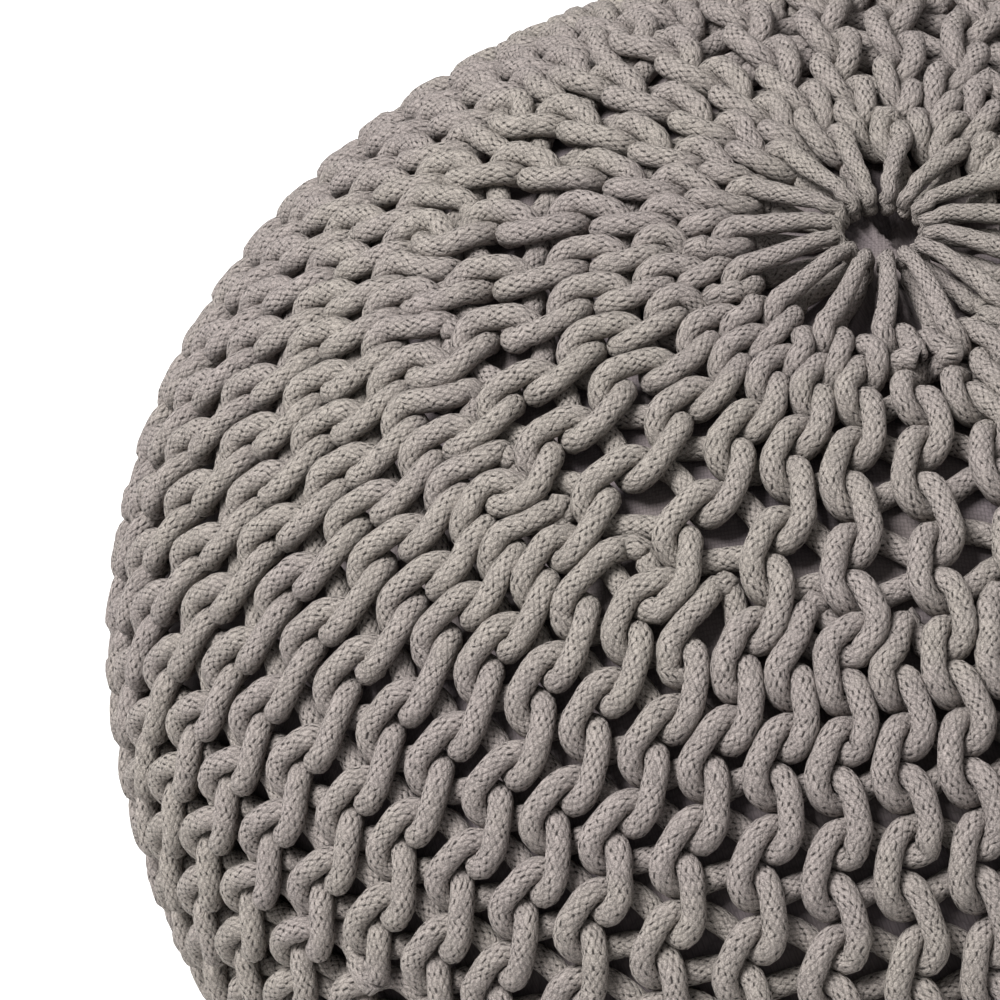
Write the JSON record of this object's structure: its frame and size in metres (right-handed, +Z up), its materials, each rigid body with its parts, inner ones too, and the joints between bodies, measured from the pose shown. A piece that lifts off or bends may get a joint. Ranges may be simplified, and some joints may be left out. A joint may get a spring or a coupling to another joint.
{
  "type": "knitted pouf",
  "caption": "Round pouf with a chunky knitted cotton-cord cover over a filled liner, drawn in to a small hole at the top and underneath.",
  "frame": {"origin": "on the floor, under the middle of the pouf", "axes": "+Z up through both holes; the pouf is round, so X and Y are free"},
  "size_m": [0.499, 0.499, 0.3353],
  "materials": {
    "cotton_cord": "matt knitted cotton cord, warm light grey",
    "liner_cloth": "matt plain-woven cotton cloth, grey-mauve"
  },
  "bodies": {
    "root": {"knit_cover": "cotton_cord", "inner_liner": "liner_cloth"}
  },
  "joints": []
}
